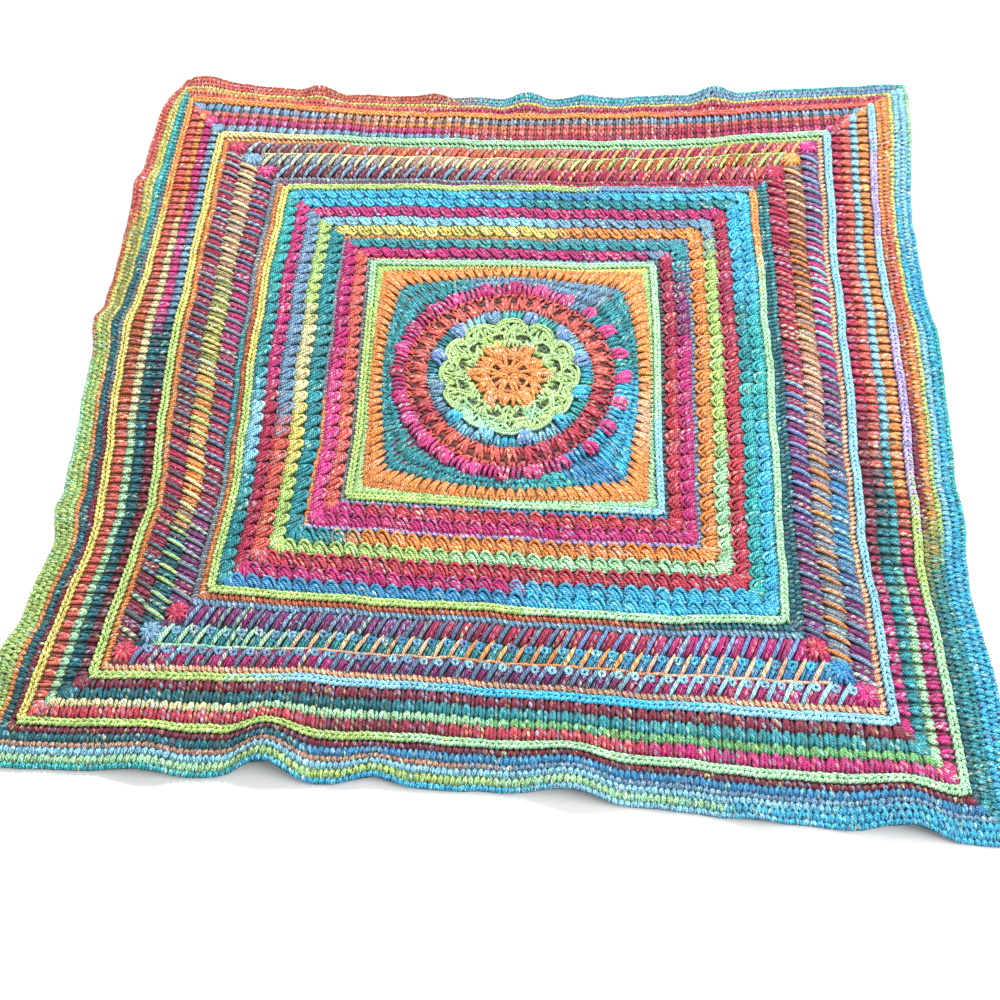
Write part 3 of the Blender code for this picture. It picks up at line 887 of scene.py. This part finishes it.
def colour_cloth(cloth, flat):
    """The rounds' colours on the cloth, darkened with painted shade, and with a painted shadow round
    its gaps.
    """
    radius, side, share = radius_of(flat[:, :2])
    colours = np.zeros((len(flat), 3))
    for name, inner, outer in all_rounds():
        slack = RIM_SLACK if outer == HALF else 0.0
        here = (radius >= inner - ROUND_SLACK) & (radius < outer + slack)
        colours[here] = yarn_colour(name, side[here], share[here])
    # Painted shadow: the cloth round each gap is darkened, as the hole would lie in shade.
    for count, gap_radius, first, width, _ in GAPS:
        middles = gap_radius * rays(np.radians(first + 360 / count * np.arange(count)))[0]
        near = np.linalg.norm(flat[:, None, :2] - middles[None], axis=2).min(axis=1)
        colours[near < width] *= GAP_PAINTED_SHADOW
    # Painted shade: the cloth is darkened where it shows between the strands.
    for layer, shade in CLOTH_PAINTED_SHADES.items():
        set_colours(cloth, layer, colours * shade)


def build_cloth(material):
    """The closed sheet that carries the stitches, with its gaps cut through."""
    sheet = new_object("afghan_cloth", closed_sheet())
    cutter = gap_cutter()
    cut = sheet.modifiers.new("gaps", "BOOLEAN")
    cut.operation, cut.solver, cut.object = "DIFFERENCE", "EXACT", cutter
    evaluated = sheet.evaluated_get(bpy.context.evaluated_depsgraph_get())
    cloth = bpy.data.meshes.new_from_object(evaluated)
    bpy.data.objects.remove(sheet)
    bpy.data.objects.remove(cutter)
    flat = np.zeros(len(cloth.vertices) * 3, np.float32)
    cloth.vertices.foreach_get("co", flat)
    flat = flat.reshape(-1, 3).astype(float)
    colour_cloth(cloth, flat)
    cloth.vertices.foreach_set("co", lie(flat).astype(np.float32).ravel())
    cloth.update()
    cloth.name = "afghan_cloth"
    cloth.materials.clear()
    return new_piece("afghan_cloth", cloth, material)


def gap_cutter():
    """One mesh with an upright prism for each gap, in the flat cloth."""
    rows = [
        (radius * math.cos(angle), radius * math.sin(angle), angle, width, length)
        for count, radius, first, width, length in GAPS
        for angle in (math.radians(first + 360 / count * number) for number in range(count))
    ]
    for radius in CORNER_GAPS:
        for side in range(len(SIDES)):
            x, y = flat_point(np.array([radius]), side, np.array([-1.0]))[0]
            rows.append((x, y, math.atan2(y, x), CORNER_GAP_WIDTH, CORNER_GAP_WIDTH))
    corners, reach = 8, 0.02
    turn = math.tau * np.arange(corners) / corners
    points, loops, sizes = [], [], []
    for number, (x, y, angle, width, length) in enumerate(rows):
        ray, across = np.cos(turn) * length / 2, np.sin(turn) * width / 2
        flat_x = x + ray * math.cos(angle) - across * math.sin(angle)
        flat_y = y + ray * math.sin(angle) + across * math.cos(angle)
        for height in (-reach, reach):
            points.append(np.column_stack([flat_x, flat_y, np.full(corners, height)]))
        low = 2 * corners * number + np.arange(corners)
        after = 2 * corners * number + (np.arange(corners) + 1) % corners
        loops.append(np.stack([low, after, after + corners, low + corners], 1).ravel())
        loops += [low[::-1], low + corners]
        sizes += [np.full(corners, 4), np.array([corners, corners])]
    return new_object("gap_cutter", new_mesh("gap_cutter", points, loops, sizes))


class Nodes:
    """A short way to add and join shader nodes."""

    def __init__(self, name):
        self.material = bpy.data.materials.new(name)
        self.material.use_nodes = True
        self.tree = self.material.node_tree
        self.shader = self.tree.nodes["Principled BSDF"]

    def new(self, kind, **settings):
        node = self.tree.nodes.new("ShaderNode" + kind)
        for key, value in settings.items():
            setattr(node, key, value)
        return node

    def feed(self, socket, value):
        if isinstance(value, bpy.types.NodeSocket):
            self.tree.links.new(value, socket)
        else:
            socket.default_value = value

    def math(self, operation, *values):
        node = self.new("Math", operation=operation)
        for socket, value in zip(node.inputs, values):
            self.feed(socket, value)
        return node.outputs[0]

    def scaled(self, value, factor_and_offset):
        return self.math("MULTIPLY_ADD", value, *factor_and_offset)

    def noise(self, scale, detail=2.0):
        place = self.new("TexCoord")
        node = self.new("TexNoise")
        node.inputs["Scale"].default_value = scale
        node.inputs["Detail"].default_value = detail
        self.feed(node.inputs["Vector"], place.outputs["Object"])
        return node.outputs["Fac"]

    def mix(self, factor, one, other, blend="MIX"):
        node = self.new("Mix", data_type="RGBA", blend_type=blend)
        for index, value in ((0, factor), (6, one), (7, other)):
            self.feed(node.inputs[index], value)
        return node.outputs[2]

    def attribute(self, name):
        return self.new("Attribute", attribute_name=name).outputs["Color"]


# The yarn's looks: the scales of its noises, and pairs of a factor and what is added.
PLIES = 3
FUZZ_SCALE, FLECK_SCALE, WOBBLE_SCALE = 2600.0, 430.0, 400.0
CLOTH_PATCH_SCALE, CLOTH_GRAIN_SCALE = 90.0, 420.0
FLECKS, FLECK_LEAST = (2.8, -0.40), 0.3
WOBBLE = 0.35
PLY_SHARE = (0.62, 0.38)
FUZZ_SHADE = (0.5, 0.75)
# Painted shade in the creases between the plies and painted highlight on their crowns: a factor on the
# colour, from the plies' bulge.
PLY_PAINTED_SHADE_AND_HIGHLIGHT = (1.05, 0.38)
ROUGHNESS = (0.16, 0.52)
BULGE_HEIGHT, FUZZ_HEIGHT = 0.7, 0.3


def yarn_material(name, twisted):
    """Plied yarn: two dyed plies that wind round each other, with a soft fuzz, painted shade in the
    creases between the plies and a painted highlight on their crowns.
    """
    nodes = Nodes(name)
    shader = nodes.shader
    fuzz = nodes.noise(FUZZ_SCALE, 3.0)
    flecks = nodes.scaled(nodes.noise(FLECK_SCALE), FLECKS)
    flecks = nodes.math("MAXIMUM", flecks, FLECK_LEAST)
    if twisted:
        place = nodes.new("UVMap", uv_map="strand")
        split = nodes.new("SeparateXYZ")
        nodes.feed(split.inputs[0], place.outputs["UV"])
        turn = nodes.math("ADD", split.outputs[0], split.outputs[1])
        wobble = nodes.math("MULTIPLY", nodes.noise(WOBBLE_SCALE), WOBBLE)
        turn = nodes.math("ADD", turn, wobble)
        stripe = nodes.math("SINE", nodes.math("MULTIPLY", turn, math.tau))
        share = nodes.scaled(stripe, PLY_SHARE)
        share.node.use_clamp = True
        waves = nodes.math("SINE", nodes.math("MULTIPLY", turn, PLIES * math.pi))
        bulge = nodes.math("ABSOLUTE", waves)
    else:
        share = nodes.noise(CLOTH_PATCH_SCALE)
        bulge = nodes.noise(CLOTH_GRAIN_SCALE, 4.0)
    colour = nodes.mix(share, nodes.attribute("ply_a"), nodes.attribute("ply_b"))
    shade = nodes.math("MULTIPLY", nodes.scaled(fuzz, FUZZ_SHADE), flecks)
    if twisted:
        # Painted shade in the creases between the plies and painted highlight on their crowns.
        ply_shade_and_highlight = nodes.scaled(bulge, PLY_PAINTED_SHADE_AND_HIGHLIGHT)
        shade = nodes.math("MULTIPLY", shade, ply_shade_and_highlight)
    tint = nodes.new("CombineColor")
    for index in range(3):
        nodes.feed(tint.inputs[index], shade)
    colour = nodes.mix(1.0, colour, tint.outputs[0], "MULTIPLY")
    nodes.feed(shader.inputs["Base Color"], colour)
    rough = nodes.scaled(fuzz, ROUGHNESS)
    nodes.feed(shader.inputs["Roughness"], rough)
    shader.inputs["Sheen Weight"].default_value = 0.10
    shader.inputs["Sheen Roughness"].default_value = 0.45
    shader.inputs["Specular IOR Level"].default_value = 0.42
    bulge = nodes.math("MULTIPLY", bulge, BULGE_HEIGHT)
    height = nodes.math("ADD", bulge, nodes.math("MULTIPLY", fuzz, FUZZ_HEIGHT))
    bump = nodes.new("Bump")
    bump.inputs["Strength"].default_value = 1.0
    bump.inputs["Distance"].default_value = 0.0012
    nodes.feed(bump.inputs["Height"], height)
    nodes.feed(shader.inputs["Normal"], bump.outputs[0])
    return nodes.material


# The photograph's viewpoint.
CAMERA_PLACE = (0.0881, -0.9759, 1.3110)
CAMERA_RIGHT = (0.99761, 0.06161, -0.03060)
CAMERA_UP = (-0.03724, 0.85817, 0.51210)
CAMERA_BACK = (0.05780, -0.50973, 0.85840)
CAMERA_LENS, CAMERA_SENSOR = 42.53, 36.0


def build_camera():
    data = bpy.data.cameras.new("camera")
    data.lens, data.sensor_width = CAMERA_LENS, CAMERA_SENSOR
    camera = new_object("camera", data)
    rows = zip(CAMERA_RIGHT, CAMERA_UP, CAMERA_BACK, CAMERA_PLACE)
    camera.matrix_world = Matrix([*rows, (0, 0, 0, 1)])
    bpy.context.scene.camera = camera


def area_light(name, place, size, energy, aim=(0.0, 0.0, 0.0)):
    data = bpy.data.lights.new(name, "AREA")
    data.shape, data.size, data.energy = "SQUARE", size, energy
    light = new_object(name, data)
    light.location = place
    ray = np.array(aim) - np.array(place)
    light.rotation_euler = (math.acos(-ray[2] / np.linalg.norm(ray)), 0.0,
                            math.atan2(ray[1], ray[0]) - math.pi / 2)


def build_studio():
    mesh = bpy.data.meshes.new("floor")
    reach = 30.0
    mesh.from_pydata([(-reach, -reach, 0), (reach, -reach, 0), (reach, reach, 0), (-reach, reach, 0)],
                     [], [(0, 1, 2, 3)])
    floor = new_object("floor", mesh)
    nodes = Nodes("floor")
    nodes.shader.inputs["Base Color"].default_value = (0.90, 0.90, 0.90, 1.0)
    nodes.shader.inputs["Roughness"].default_value = 0.9
    mesh.materials.append(nodes.material)
    world = bpy.data.worlds.new("studio")
    world.use_nodes = True
    background = world.node_tree.nodes["Background"]
    background.inputs["Color"].default_value = (1.0, 1.0, 1.0, 1.0)
    background.inputs["Strength"].default_value = 0.58
    bpy.context.scene.world = world
    area_light("key", (-0.5, 2.2, 2.5), 0.8, 140.0)
    area_light("fill", (2.2, -0.6, 1.7), 1.8, 66.0, aim=(0.5, -0.1, 0.0))
    bpy.context.scene.view_settings.view_transform = "Standard"


build_camera()
build_studio()
yarn_look = yarn_material("plied_yarn", twisted=True)
cloth_look = yarn_material("cloth_beneath", twisted=False)
cloth = build_cloth(cloth_look)
clusters = ((CLUSTER, {"tweed": 1.2, "lean": 0.05}), (CLUSTER_TOPS, {"tweed": 1.2}))
border = (UPRIGHT, {"tweed": 1.8, "lean": 0.22, "thick": 1.12})
stitches = [
    build_motif(yarn_look),
    build_corners(yarn_look),
    build_rounds(yarn_look, "afghan_clusters_inner", INNER_CLUSTER_ROUNDS, CLUSTER_PITCH, *clusters),
    build_rounds(yarn_look, "afghan_clusters_outer", OUTER_CLUSTER_ROUNDS, CLUSTER_PITCH, *clusters),
    build_rounds(yarn_look, "afghan_posts", POST_ROUNDS, POST_PITCH, (POST, {"tweed": 1.6})),
    build_ridges(yarn_look),
    build_crossed(yarn_look),
    build_ribs(yarn_look),
    build_rounds(yarn_look, "afghan_border", BORDER_ROUNDS, POST_PITCH, border),
]
